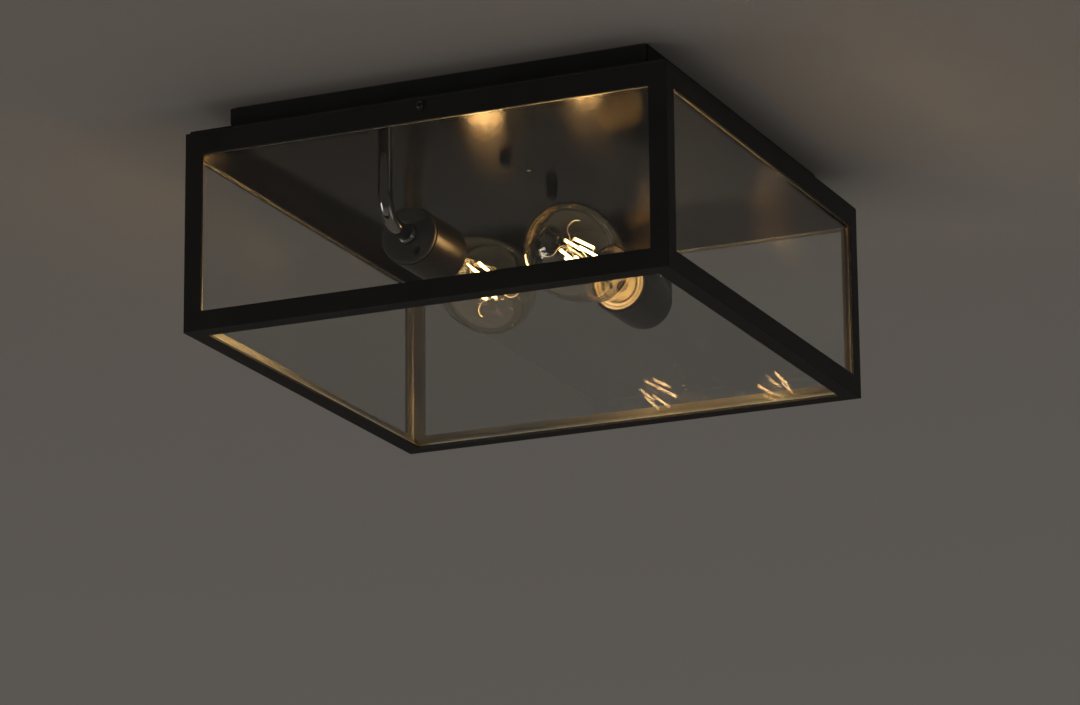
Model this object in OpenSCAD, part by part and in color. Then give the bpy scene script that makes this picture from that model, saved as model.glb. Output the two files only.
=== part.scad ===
// Porch ceiling lantern: a square glazed cage under a ceiling box, two lamps lying flat inside.
// Millimetres. z = 0 is the ceiling and the lantern hangs down from it.
// Front is -Y and left is -X. The right lamp is the left lamp turned half a turn about Z.

/* [Overall] */
// Outside width and depth of the cage
cage_side = 350; // [330:1:400]
// Height from the ceiling to the underside of the cage
overall_height = 161; // [152:1:200]
// Height of the ceiling box
canopy_height = 19.5; // [19:0.5:24]
// Distance of the ceiling box from the sides of the cage
canopy_inset = 22; // [17:1:24]

/* [Cage] */
// Thickness of the frame metal
frame_thickness = 2; // [1.6:0.1:3]
// Width of each leg of the corner posts
post_width = 13; // [10:0.5:20]
// Height of the flat top rails
top_rail_height = 16; // [14:0.5:20]
// Height of the angle bottom rails
bottom_rail_height = 14; // [11:0.5:20]
// Width of the lip under the bottom glass
bottom_lip = 12.5; // [10:0.5:18]

/* [Glazing] */
// Thickness of the glass
glass_thickness = 3; // [2:0.5:4]
// Thickness of the silicone beds
seal_thickness = 0.5; // [0.3:0.1:1]
// Gap around the edges of the panes
glass_edge_gap = 0.3; // [0.2:0.1:1]
// Height of glass behind the top rails
glass_cover = 1.5; // [1:0.5:5]
// Gap between the side panes and the skirt above them
glass_skirt_gap = 0.8; // [0.5:0.1:1.5]

/* [Ceiling box and plate] */
// Sheet thickness of the box, the plate and the skirt
sheet = 1.2; // [0.8:0.1:1.6]
// Width of the flange inside the bottom of the box
canopy_flange = 10; // [8:0.5:12]
// Width of the open corner seams
seam_width = 0.8; // [0.5:0.1:1.2]
// Length of the open corner seams
seam_length = 12; // [8:0.5:14]
// Diameter of the relief holes that end the seams
relief_diameter = 3; // [2:0.5:4]
// Gap between the plate and the top edge of the cage
cage_top_gap = 0.8; // [0.5:0.1:2]
// Gap between the skirt and the top rails
skirt_gap = 0.35; // [0.3:0.05:0.8]
// Depth of the dimples that take the side screws
dimple_depth = 1; // [0.5:0.1:1.5]

/* [Ceiling bar and wiring] */
// Length of the ceiling bar
bar_length = 112; // [104:1:124]
// Width of the ceiling bar
bar_width = 22; // [18:0.5:26]
// Thickness of the ceiling bar
bar_thickness = 1.6; // [1.2:0.1:2]
// Distance between the fixing slots
slot_spacing = 50; // [48:1:52]
// Width of the fixing slots
slot_width = 4.5; // [4:0.1:5]
// Length of the fixing slots
slot_length = 12; // [10:0.5:14]
// Distance between the mounting studs
stud_spacing = 77; // [76:0.5:80]
// Width of the terminal block
block_width = 22; // [20:0.5:24]
// Length of the terminal block
block_length = 30; // [28:0.5:34]
// Height of the terminal block
block_height = 16; // [15:0.5:16.5]
// Outside diameter of the sleeved leads
lead_diameter = 3.8; // [3:0.1:4.2]
// Height of the leads below the ceiling
lead_drop = 8.5; // [8.4:0.1:8.6]

/* [Fasteners] */
// Radial clearance of threads and press fits
thread_clearance = 0.05; // [0.02:0.01:0.1]
// Radial clearance of plain holes
hole_clearance = 0.3; // [0.2:0.05:0.5]
// Thread diameter of the mounting studs
stud_diameter = 5; // [4:0.5:5.5]
// Length of the mounting studs
stud_length = 28.4; // [27:0.1:28.8]
// Length of the cap nuts
cap_nut_length = 10; // [9.5:0.5:13]
// Thread diameter of the side screws and the small machine screws
screw_diameter = 3; // [2.5:0.1:3.2]
// Head diameter of the side screws
side_head_diameter = 5.7; // [5:0.1:7]
// Head height of the side screws
side_head_height = 1.9; // [1.6:0.1:2.6]
// Thickness of the washers
washer_thickness = 0.5; // [0.4:0.1:0.8]
// Gap between the side screw tips and the skirt
screw_tip_gap = 0.1; // [0.05:0.05:0.2]

/* [Lamp arms and holders] */
// Distance of each lamp axis from the middle of the lantern
lamp_x = 42.7; // [40:0.1:50]
// Distance of each holder end face from the arm behind it
lamp_reach = 34.5; // [31:0.5:39]
// Depth of the lamp axes below the ceiling
lamp_drop = 90.4; // [84:0.1:96]
// Distance of the arms from the sides of the cage
arm_inset = 36; // [35:0.5:39]
// Outside diameter of the arms
arm_diameter = 10; // [9:0.5:11]
// Wall thickness of the arms
arm_wall = 1; // [0.8:0.1:1.2]
// Centre line radius of the arm bends
arm_bend = 18; // [15:0.5:22]
// Across flats size of the arm nuts
arm_nut_flats = 15; // [14:0.5:17]
// Height of the arm nuts
arm_nut_height = 3.5; // [2.5:0.1:4]
// Outside diameter of the lampholders
holder_diameter = 39.7; // [39:0.1:44]
// Wall thickness of the holder cups
cup_wall = 1; // [0.8:0.1:1.2]
// Thickness of the holder end caps
end_cap = 4; // [3.9:0.1:4.4]
// Outside diameter of the threaded shells
shell_diameter = 27.9; // [27.6:0.1:28.2]

/* [Bulbs] */
// Largest diameter of the bulb glass
bulb_diameter = 64; // [58:0.5:68]
// Overall length of the bulbs
bulb_length = 142; // [138:0.5:146]
// Diameter of the bulb caps over the thread
cap_diameter = 26.4; // [26:0.1:26.8]
// Wall thickness of the bulb glass
bulb_wall = 0.8; // [0.6:0.1:1]
// Length of the filament sticks
filament_length = 30; // [26:0.5:34]
// Diameter of the filament sticks
filament_diameter = 2; // [1.5:0.1:2.2]
// Circle radius of the filament ends near the cap
filament_ring_low = 9.5; // [8:0.1:11]
// Circle radius of the filament ends near the tip
filament_ring_high = 7.2; // [6:0.1:9]

/* [Hidden] */
$fn = 96;
eps = 0.01;

// heights of the ceiling unit
plate_top = -canopy_height;
plate_under = plate_top - sheet;
cage_top = plate_under - cage_top_gap;
cage_bottom = -overall_height;
rail_under = cage_top - top_rail_height;
post_foot = cage_bottom + bottom_rail_height;
glass_top = rail_under + glass_cover;
skirt_under = glass_top + glass_skirt_gap;

// half widths, from the outside inwards
cage_half = cage_side / 2;
rail_in = cage_half - frame_thickness;
glass_out = rail_in - seal_thickness;
glass_in = glass_out - glass_thickness;
skirt_out = rail_in - skirt_gap;
skirt_in = skirt_out - sheet;
canopy_half = cage_half - canopy_inset;
canopy_in = canopy_half - sheet;
seam_cut = 20;

// bottom glass and the panes that stand on it
bottom_seal_z = cage_bottom + frame_thickness;
bottom_glass_z = bottom_seal_z + seal_thickness;
pane_foot = bottom_glass_z + glass_thickness;
bottom_glass_half = rail_in - seal_thickness - glass_edge_gap;
lip_in = cage_half - bottom_lip;
post_in = cage_half - post_width;

// side screws
side_screw_z = cage_top - 5.5;
dimple_r = screw_diameter / 2 + 1.2;

// studs, cap nuts and the parts above the plate
stud_y = stud_spacing / 2;
stud_r = stud_diameter / 2;
stud_top = -0.2;
stud_tip = stud_top - stud_length;
nut_washer = 0.8;
nut_top = plate_under - nut_washer;
nut_flats = stud_diameter + 3;
nut_hex = 5;
nut_dome = nut_flats / 2 - 0.25;
lock_nut_height = 4;
earth_head = 8;
earth_gap = 1;
earth_y = stud_y + nut_flats / sqrt(3) + earth_head / 2 + earth_gap;
block_top = plate_top + block_height;
block_screw_seat = block_top - 6;
wire_y = 10;
wire_in = 3;
clamp_x = 6;
screw_r = screw_diameter / 2;
head_height = 2;
drive_slot = [8, 0.8, 2];

// arms and leads
arm_y = cage_half - arm_inset;
lamp_y = arm_y - lamp_reach;
arm_top = -14;
arm_in_cap = 6;
arm_r = arm_diameter / 2;
lead_r = lead_diameter / 2;
lead_bend = 6.5;

// lampholders, measured along the lamp axis from the outer face of the end cap
holder_r = holder_diameter / 2;
cup_in = holder_r - cup_wall;
holder_mouth = 50;
spigot_end = end_cap + 6;
porcelain_r = cup_in - 0.45;
shell_r = shell_diameter / 2;
shell_wall = 0.4;
floor_u = 18;
ring_screw_y = 10;
groove_depth = 5.5;
end_fillet = 1.5;
blind_hole = [7.4, 11.8];
blind_hole_diameter = 5.4;

// bulbs, on the same axis; foot is the rise of each step of the insulator above the tip
tip_u = 25;
foot = [1.5, 5, 5.3, 7.3, 8.5];
bulb_end = tip_u + bulb_length;
neck_u = 50.6;
cap_r = cap_diameter / 2;
cap_wall = 0.3;
neck_r = cap_r - cap_wall - 0.1;
bulb_r = bulb_diameter / 2;
bulb_round = bulb_r * 1.156;
bulb_wide = bulb_end - bulb_round;
glass_foot = 44;
tip_room = 34;
filament_u = bulb_end - tip_room - filament_length;
filament_top = filament_u + filament_length;
hub_u = filament_top + 6;
hook_r = 6.2;
wire_r = 0.35;
stem_foot = 45.6;
stem_top = filament_u - 7;
stem_r = 4.2;

module left_lamp()
    translate([-lamp_x, -lamp_y, -lamp_drop]) rotate([-90, 0, 0]) children();

module turned(side)
    rotate([0, 0, side > 0 ? 180 : 0]) children();

module lamp(side)
    turned(side) left_lamp() children();

module four_sides()
    for (a = [0:90:270]) rotate([0, 0, a]) children();

module square_ring(outer, inner, z0, z1)
    translate([0, 0, z0]) linear_extrude(z1 - z0) difference() {
        square(2 * outer, center = true);
        square(2 * inner, center = true);
    }

// mitred strip along the front, from half width outer in to half width inner
module mitred_strip(outer, inner, z0, z1)
    translate([0, 0, z0]) linear_extrude(z1 - z0)
        polygon([[-outer, -outer], [outer, -outer], [inner, -inner], [-inner, -inner]]);

module hex(flats, h)
    cylinder(h = h, r = flats / sqrt(3), $fn = 6);

// ---------------------------------------------------------------- ceiling unit

module canopy_box() color("black") difference() {
    union() {
        square_ring(canopy_half, canopy_in, plate_top, 0);
        square_ring(canopy_in, canopy_in - canopy_flange, plate_top, plate_top + sheet);
    }
    for (a = [45:90:315]) rotate([0, 0, a]) translate([canopy_half * sqrt(2), 0, -seam_length]) {
        translate([-seam_cut / 2, -seam_width / 2, 0]) cube([seam_cut, seam_width, seam_length + 1]);
        rotate([0, 90, 0]) cylinder(h = seam_cut, d = relief_diameter, center = true);
    }
    for (s = [-1, 1]) translate([s * lamp_x, s * arm_y, plate_top - 1])
        cylinder(h = sheet + 2, r = arm_nut_flats / sqrt(3) + 1);
}

module side_dimple(r, depth, from)
    translate([0, from, side_screw_z]) rotate([-90, 0, 0]) cylinder(h = depth, r1 = r, r2 = r * 0.6);

module reflector_plate() color("dimgray") difference() {
    union() {
        translate([-skirt_out, -skirt_out, plate_under]) cube([2 * skirt_out, 2 * skirt_out, sheet]);
        square_ring(skirt_out, skirt_in, skirt_under, plate_under);
        for (s = [-1, 1]) turned(s) side_dimple(dimple_r + sheet, dimple_depth, -skirt_in - eps);
    }
    for (s = [-1, 1]) turned(s) side_dimple(dimple_r, dimple_depth, -skirt_out - eps);
    for (s = [-1, 1]) translate([s * lamp_x, s * arm_y, plate_under - 1])
        cylinder(h = sheet + 2, r = arm_r + thread_clearance);
    for (s = [-1, 1]) translate([0, s * stud_y, plate_under - 1])
        cylinder(h = sheet + 2, r = stud_r + hole_clearance);
    translate([0, 0, plate_under - 1]) cylinder(h = sheet + 2, r = screw_r + thread_clearance);
}

module ceiling_bar() color("silver") difference() {
    translate([-bar_width / 2, -bar_length / 2, -bar_thickness])
        cube([bar_width, bar_length, bar_thickness]);
    for (s = [-1, 1]) translate([0, s * slot_spacing / 2, -bar_thickness - 1]) {
        translate([-slot_width / 2, -(slot_length - slot_width) / 2, 0])
            cube([slot_width, slot_length - slot_width, bar_thickness + 2]);
        for (e = [-1, 1]) translate([0, e * (slot_length - slot_width) / 2, 0])
            cylinder(h = bar_thickness + 2, d = slot_width);
    }
    for (s = [-1, 1]) translate([0, s * stud_y, -bar_thickness - 1])
        cylinder(h = bar_thickness + 2, r = stud_r + thread_clearance);
    translate([0, earth_y, -bar_thickness - 1])
        cylinder(h = bar_thickness + 2, r = stud_r + thread_clearance);
}

module mounting_studs() color("silver")
    for (s = [-1, 1]) translate([0, s * stud_y, stud_tip]) cylinder(h = stud_length, r = stud_r);

module stud_lock_nuts() color("silver")
    for (s = [-1, 1]) translate([0, s * stud_y, -bar_thickness - lock_nut_height]) difference() {
        hex(nut_flats, lock_nut_height);
        translate([0, 0, -1]) cylinder(h = lock_nut_height + 2, r = stud_r + thread_clearance);
    }

module earth_screw() color("gold") translate([0, earth_y, -bar_thickness]) difference() {
    union() {
        cylinder(h = bar_thickness - 0.2, r = stud_r);
        translate([0, 0, -2.4]) cylinder(h = 2.4, d = earth_head);
    }
    translate([-earth_head / 2, -0.5, -2.5]) cube([earth_head, 1, 1.1]);
}

module terminal_block() color("white") difference() {
    translate([-block_width / 2, -block_length / 2, plate_top])
        cube([block_width, block_length, block_height]);
    for (s = [-1, 1]) turned(s) {
        translate([-block_width, -wire_y, -lead_drop]) rotate([0, 90, 0])
            cylinder(h = block_width - wire_in, r = lead_r + 0.2);
        translate([-clamp_x, -wire_y, -lead_drop])
            cylinder(h = lead_drop, r = screw_r + thread_clearance);
    }
    translate([0, 0, plate_top - 1]) cylinder(h = block_height + 2, r = screw_r + 0.1);
    translate([0, 0, block_screw_seat]) cylinder(h = block_height, d = 2 * screw_diameter + 0.6);
}

module terminal_screws() color("silver")
    for (s = [-1, 1]) turned(s) translate([-clamp_x, -wire_y, -lead_drop + lead_r + 0.1]) difference() {
        cylinder(h = 2.4, r = screw_r);
        translate([-2, -0.3, 1.5]) cube([4, 0.6, 1]);
    }

module terminal_block_screw() color("silver") difference() {
    union() {
        translate([0, 0, plate_under + 0.1])
            cylinder(h = block_screw_seat - plate_under - 0.1, r = screw_r);
        translate([0, 0, block_screw_seat]) cylinder(h = head_height, d = 1.9 * screw_diameter);
    }
    translate([-drive_slot[0] / 2, -drive_slot[1] / 2, block_screw_seat + head_height / 2])
        cube(drive_slot);
}

// ---------------------------------------------------------------- arms and leads

// centre line of the left arm, from the top of the tube into the end cap
module arm_run(r, top, end) {
    translate([-lamp_x, -arm_y, -lamp_drop + arm_bend])
        cylinder(h = lamp_drop - arm_bend + top, r = r);
    translate([-lamp_x, -arm_y + arm_bend, -lamp_drop + arm_bend])
        rotate([90, 0, 90]) rotate([0, 0, 180])
            rotate_extrude(angle = 90) translate([arm_bend, 0]) circle(r);
    translate([-lamp_x, -arm_y + arm_bend, -lamp_drop]) rotate([-90, 0, 0])
        cylinder(h = arm_y - arm_bend - lamp_y + end, r = r);
}

module arm(side) color("dimgray") turned(side) difference() {
    arm_run(arm_r, arm_top, arm_in_cap);
    arm_run(arm_r - arm_wall, arm_top + 1, arm_in_cap + 1);
}

module arm_left() arm(-1);
module arm_right() arm(1);

module arm_nuts() color("dimgray")
    for (s = [-1, 1]) translate([s * lamp_x, s * arm_y, 0])
        for (z = [plate_top, plate_under - arm_nut_height]) translate([0, 0, z]) difference() {
            hex(arm_nut_flats, arm_nut_height);
            translate([0, 0, -1]) cylinder(h = arm_nut_height + 2, r = arm_r + thread_clearance);
        }

module arm_collars() color("dimgray")
    for (s = [-1, 1]) lamp(s) translate([0, 0, -3]) difference() {
        cylinder(h = 3, r = arm_r + 1.5);
        translate([0, 0, -1]) cylinder(h = 5, r = arm_r + thread_clearance);
    }

module lead(side) color("white") turned(side) {
    arm_run(lead_r, -lead_drop - lead_bend, spigot_end);
    translate([-lamp_x, -arm_y + lead_bend, -lead_drop - lead_bend])
        rotate([90, 0, 90]) rotate([0, 0, 90])
            rotate_extrude(angle = 90) translate([lead_bend, 0]) circle(lead_r);
    translate([-lamp_x, -arm_y + lead_bend, -lead_drop]) rotate([-90, 0, 0])
        cylinder(h = arm_y - 2 * lead_bend - wire_y, r = lead_r);
    translate([-lamp_x + lead_bend, -wire_y - lead_bend, -lead_drop]) rotate([0, 0, 90])
        rotate_extrude(angle = 90) translate([lead_bend, 0]) circle(lead_r);
    translate([-lamp_x + lead_bend, -wire_y, -lead_drop]) rotate([0, 90, 0])
        cylinder(h = lamp_x - lead_bend - wire_in - 1, r = lead_r);
}

module lead_left() lead(-1);
module lead_right() lead(1);

// ---------------------------------------------------------------- lampholders

module holder_end(side) color("gray") lamp(side) difference() {
    rotate_extrude() polygon(concat(
        [[arm_r + thread_clearance, 0]],
        [for (a = [0:15:90]) [holder_r - end_fillet * (1 - sin(a)), end_fillet * (1 - cos(a))]],
        [[holder_r, end_cap], [cup_in - 0.1, end_cap], [cup_in - 0.1, spigot_end],
         [lead_r + 1.1, spigot_end], [lead_r + 1.1, arm_in_cap],
         [arm_r + thread_clearance, arm_in_cap]]));
    translate([blind_hole[0], blind_hole[1], -1]) cylinder(h = end_cap + 0.5, d = blind_hole_diameter);
    for (s = [-1, 1]) translate([0, s * ring_screw_y, end_cap + 0.4])
        cylinder(h = spigot_end, r = screw_r + thread_clearance);
}

module holder_end_left() holder_end(-1);
module holder_end_right() holder_end(1);

module holder_cup(side) color("saddlebrown") lamp(side) rotate_extrude()
    polygon([[holder_r, end_cap], [holder_r, holder_mouth - 0.4], [holder_r - 0.3, holder_mouth],
        [cup_in + 0.3, holder_mouth], [cup_in, holder_mouth - 0.4], [cup_in, end_cap]]);

module holder_cup_left() holder_cup(-1);
module holder_cup_right() holder_cup(1);

module porcelain(side) color("ivory") lamp(side) difference() {
    rotate_extrude() polygon([[0, spigot_end], [porcelain_r - 0.8, spigot_end],
        [porcelain_r, spigot_end + 0.8], [porcelain_r, holder_mouth - 1.6],
        [porcelain_r - 1, holder_mouth - 0.6], [porcelain_r - 2, holder_mouth - 0.6],
        [porcelain_r - 2, holder_mouth - groove_depth], [shell_r + 1.15, holder_mouth - groove_depth],
        [shell_r + 1.15, holder_mouth - 1.1], [shell_r + 0.1, holder_mouth - 1.1],
        [shell_r + 0.1, floor_u], [0, floor_u]]);
    for (s = [-1, 1]) translate([0, s * ring_screw_y, spigot_end - 1])
        cylinder(h = floor_u - spigot_end + 2, r = screw_r + 0.1);
    translate([-2, 0, spigot_end - 1])
        cylinder(h = floor_u - spigot_end + 2, r = 1.5 + thread_clearance);
}

module porcelain_left() porcelain(-1);
module porcelain_right() porcelain(1);

module screw_shell(side) color("gold") lamp(side) difference() {
    rotate_extrude() polygon([[7, floor_u], [shell_r, floor_u], [shell_r, holder_mouth - 4],
        [shell_r - shell_wall, holder_mouth - 4], [shell_r - shell_wall, floor_u + shell_wall],
        [7, floor_u + shell_wall]]);
    for (s = [-1, 1]) translate([0, s * ring_screw_y, floor_u - 1])
        cylinder(h = 3, r = screw_r + 0.1);
}

module screw_shell_left() screw_shell(-1);
module screw_shell_right() screw_shell(1);

module centre_contact(side) color("gold") lamp(side) difference() {
    union() {
        translate([0, 2.5, 0]) rotate([90, 0, 0]) linear_extrude(5)
            polygon([[-5, floor_u], [5, floor_u], [5.8, floor_u + 0.9], [1.6, tip_u - 0.8],
                [0.6, tip_u - 0.3], [-0.6, tip_u - 0.3], [-1.6, tip_u - 0.8], [-1.3, tip_u - 1.2],
                [-0.4, tip_u - 0.8], [0.4, tip_u - 0.8], [1.2, tip_u - 1.2],
                [5.1, floor_u + 0.95], [4.8, floor_u + 0.5], [-5, floor_u + 0.5]]);
        translate([-2, 0, spigot_end + 0.4]) cylinder(h = floor_u - spigot_end, r = 1.5);
        translate([-2, 0, floor_u + 0.5 - eps]) cylinder(h = 0.8, r1 = 2.2, r2 = 1.6);
    }
}

module centre_contact_left() centre_contact(-1);
module centre_contact_right() centre_contact(1);

module porcelain_screws() color("silver")
    for (side = [-1, 1]) lamp(side)
        for (s = [-1, 1]) translate([0, s * ring_screw_y, 0]) difference() {
            union() {
                translate([0, 0, end_cap + 1])
                    cylinder(h = floor_u + shell_wall - end_cap - 1, r = screw_r);
                translate([0, 0, floor_u + shell_wall])
                    cylinder(h = head_height, d = 1.75 * screw_diameter);
            }
            translate([-drive_slot[0] / 2, -drive_slot[1] / 2, floor_u + shell_wall + head_height / 2])
                cube(drive_slot);
        }

// ---------------------------------------------------------------- cap nuts

module cap_nut(s) color("dimgray") translate([0, s * stud_y, nut_top - cap_nut_length])
    difference() {
        union() {
            translate([0, 0, cap_nut_length - nut_hex]) hex(nut_flats, nut_hex);
            translate([0, 0, nut_dome])
                cylinder(h = cap_nut_length - nut_dome - nut_hex / 2, r = nut_dome - 0.05);
            translate([0, 0, nut_dome]) sphere(nut_dome);
        }
        translate([0, 0, cap_nut_length - (nut_top - stud_tip) - 1])
            cylinder(h = cap_nut_length, r = stud_r + thread_clearance);
    }

module cap_nut_front() cap_nut(-1);
module cap_nut_back() cap_nut(1);

module cap_nut_washer(s) color("dimgray") translate([0, s * stud_y, nut_top]) difference() {
    cylinder(h = nut_washer, r = nut_flats / 2 + 1);
    translate([0, 0, -1]) cylinder(h = nut_washer + 2, r = stud_r + 0.1);
}

module cap_nut_washer_front() cap_nut_washer(-1);
module cap_nut_washer_back() cap_nut_washer(1);

// ---------------------------------------------------------------- bulbs

module bulb_tip(side) color("silver") lamp(side) rotate_extrude()
    polygon([[0, tip_u], [3, tip_u], [4.4, tip_u + 0.6], [4.6, tip_u + foot[0]], [0, tip_u + foot[0]]]);

module bulb_tip_left() bulb_tip(-1);
module bulb_tip_right() bulb_tip(1);

module bulb_insulator(side) color("black") lamp(side) rotate_extrude()
    polygon([[0, tip_u + foot[0]], [4.8, tip_u + foot[0]], [cap_r - 2.8, tip_u + foot[1]],
        [cap_r - 2.8, tip_u + foot[2]], [cap_r - 0.5, tip_u + foot[3]], [cap_r - 0.5, tip_u + foot[4]],
        [0, tip_u + foot[4]]]);

module bulb_insulator_left() bulb_insulator(-1);
module bulb_insulator_right() bulb_insulator(1);

module bulb_cap(side) color("silver") lamp(side) rotate_extrude()
    polygon([[cap_r - 2.6, tip_u + foot[1] + 0.2], [cap_r - 2.3, tip_u + foot[1]],
        [cap_r, tip_u + foot[3] - 0.3], [cap_r, neck_u - 0.1], [cap_r - cap_wall, neck_u - 0.1],
        [cap_r - cap_wall, tip_u + foot[3] - 0.1]]);

module bulb_cap_left() bulb_cap(-1);
module bulb_cap_right() bulb_cap(1);

// half profile of the bulb glass, drawn inwards by w
function bulb_side(w) = concat(
    [for (t = [0.1:0.1:0.9])
        [neck_r + (bulb_r - neck_r) * sin(90 * pow(t, 1.25)) - w,
         neck_u + (bulb_wide - neck_u) * t]],
    [for (a = [0:7.5:90]) [(bulb_r - w) * cos(a), bulb_wide + (bulb_round - w) * sin(a)]]);

module bulb_glass(side) color("white", 0.3) lamp(side) rotate_extrude()
    polygon(concat([[neck_r, glass_foot], [neck_r, neck_u]], bulb_side(0),
        [for (i = [21:-1:0]) bulb_side(bulb_wall)[i]],
        [[neck_r - bulb_wall, neck_u], [neck_r - bulb_wall, glass_foot]]));

module bulb_glass_left() bulb_glass(-1);
module bulb_glass_right() bulb_glass(1);

// point on the stem, radius in stem radii and height as a share of its length
function stem_at(r, t) = [stem_r * r, stem_foot + (stem_top - stem_foot) * t];

module bulb_stem(side) color("white", 0.5) lamp(side) rotate_extrude()
    polygon(concat(
        [[neck_r - bulb_wall - 0.4, stem_foot], [neck_r - bulb_wall - 0.1, stem_foot + 0.8]],
        [for (p = [[1.57, 0.147], [1, 0.325], [0.95, 0.88], [0.71, 0.96], [0, 1], [0, 0.84],
            [0.57, 0.8], [0.67, 0.305], [1.26, 0.127]]) stem_at(p[0], p[1])],
        [[neck_r - bulb_wall - 1.6, stem_foot]]));

module bulb_stem_left() bulb_stem(-1);
module bulb_stem_right() bulb_stem(1);

// straight wire in the plane of one filament, between two points [radius, height]
module wire(a, b)
    translate([a[0], 0, a[1]]) rotate([0, atan2(b[0] - a[0], b[1] - a[1]), 0])
        cylinder(h = norm(b - a), r = wire_r, $fn = 24);

// S-shaped support wire that springs from the hub across the axis, with a bead at its middle
module hook() translate([0.42, hook_r, 0]) {
    rotate([0, 0, -90]) rotate_extrude(angle = 78) translate([hook_r, 0]) circle(wire_r);
    rotate([0, 0, -10]) translate([hook_r, 0]) sphere(wire_r + 0.15);
    rotate([0, 0, -10]) translate([2 * hook_r, 0]) rotate([0, 0, 30])
        rotate_extrude(angle = 148) translate([hook_r, 0]) circle(wire_r);
}

module bulb_wires(side) color("silver") lamp(side) {
    translate([0, 0, stem_top]) cylinder(h = hub_u - stem_top, r = 0.6, $fn = 24);
    for (i = [0:2]) rotate([0, 0, 120 * i + 100]) translate([0, 0, hub_u - 0.5]) hook();
    for (i = [0:5]) rotate([0, 0, 60 * i]) {
        wire([0.3, filament_u - 6], [filament_ring_low, filament_u - 1]);
        translate([filament_ring_low, 0, filament_u - 1.4]) cylinder(h = 1.4, r = 0.6, $fn = 24);
        wire([0.3, filament_top + 3.6], [filament_ring_high, filament_top + 1]);
        translate([filament_ring_high, 0, filament_top]) cylinder(h = 1.4, r = 0.6, $fn = 24);
    }
}

module bulb_wires_left() bulb_wires(-1);
module bulb_wires_right() bulb_wires(1);

module bulb_filaments(side) color("orange") lamp(side)
    for (i = [0:5]) rotate([0, 0, 60 * i])
        multmatrix([[1, 0, (filament_ring_high - filament_ring_low) / filament_length, filament_ring_low],
            [0, 1, 0, 0], [0, 0, 1, filament_u], [0, 0, 0, 1]])
            cylinder(h = filament_length, d = filament_diameter, $fn = 24);

module bulb_filaments_left() bulb_filaments(-1);
module bulb_filaments_right() bulb_filaments(1);

// ---------------------------------------------------------------- cage

module corner_posts() color("black") four_sides()
    translate([0, 0, post_foot]) linear_extrude(rail_under - post_foot)
        polygon([[-cage_half, -cage_half], [-post_in, -cage_half], [-post_in, -rail_in],
            [-rail_in, -rail_in], [-rail_in, -post_in], [-cage_half, -post_in]]);

module bottom_rails() color("black") four_sides() {
    mitred_strip(cage_half, lip_in, cage_bottom, cage_bottom + frame_thickness);
    mitred_strip(cage_half, rail_in, cage_bottom + frame_thickness, post_foot);
}

module top_rail_drilled() difference() {
    mitred_strip(cage_half, rail_in, rail_under, cage_top);
    translate([0, -cage_half - 1, side_screw_z]) rotate([-90, 0, 0])
        cylinder(h = frame_thickness + 2, r = screw_r + thread_clearance);
}

module top_rail_front() color("black") top_rail_drilled();
module top_rail_back() color("black") turned(1) top_rail_drilled();

module top_rails_side() color("black")
    for (a = [90, 270]) rotate([0, 0, a]) mitred_strip(cage_half, rail_in, rail_under, cage_top);

module side_pane(half) color("lightblue", 0.3)
    translate([-half, -glass_out, pane_foot]) cube([2 * half, glass_thickness, glass_top - pane_foot]);

module glass_front() side_pane(glass_out - glass_edge_gap);
module glass_back() turned(1) side_pane(glass_out - glass_edge_gap);
module glass_left() rotate([0, 0, -90]) side_pane(glass_in - glass_edge_gap);
module glass_right() rotate([0, 0, 90]) side_pane(glass_in - glass_edge_gap);

module glass_bottom() color("lightblue", 0.3)
    translate([-bottom_glass_half, -bottom_glass_half, bottom_glass_z])
        cube([2 * bottom_glass_half, 2 * bottom_glass_half, glass_thickness]);

module glazing_seals() color("white") {
    four_sides() translate([0, -glass_out, 0]) rotate([90, 0, 0]) linear_extrude(seal_thickness)
        difference() {
            translate([-bottom_glass_half, pane_foot])
                square([2 * bottom_glass_half, glass_top - pane_foot]);
            translate([-post_in, post_foot]) square([2 * post_in, rail_under - post_foot]);
        }
    square_ring(bottom_glass_half, lip_in + 0.2, bottom_seal_z, bottom_glass_z);
}

// ---------------------------------------------------------------- side screws

// along +z from the outer face of the rail outwards
module side_axis(s)
    turned(s) translate([0, -cage_half, side_screw_z]) rotate([90, 0, 0]) children();

module side_screw(s) color("black") side_axis(s) difference() {
    union() {
        translate([0, 0, screw_tip_gap - frame_thickness - skirt_gap])
            cylinder(h = frame_thickness + skirt_gap + washer_thickness - screw_tip_gap, r = screw_r);
        translate([0, 0, washer_thickness]) rotate_extrude()
            polygon([[0, 0], [side_head_diameter / 2, 0], [side_head_diameter / 2, 0.3],
                [side_head_diameter / 2 * 0.9, side_head_height * 0.6],
                [side_head_diameter / 2 * 0.6, side_head_height], [0, side_head_height]]);
    }
    translate([0, 0, washer_thickness + side_head_height - 1.2]) hex(2, 2);
}

module side_screw_front() side_screw(-1);
module side_screw_back() side_screw(1);

module side_washer(s) color("black") side_axis(s) difference() {
    cylinder(h = washer_thickness, d = side_head_diameter + 0.8);
    translate([0, 0, -1]) cylinder(h = washer_thickness + 2, r = screw_r + 0.1);
}

module side_washer_front() side_washer(-1);
module side_washer_back() side_washer(1);

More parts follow.
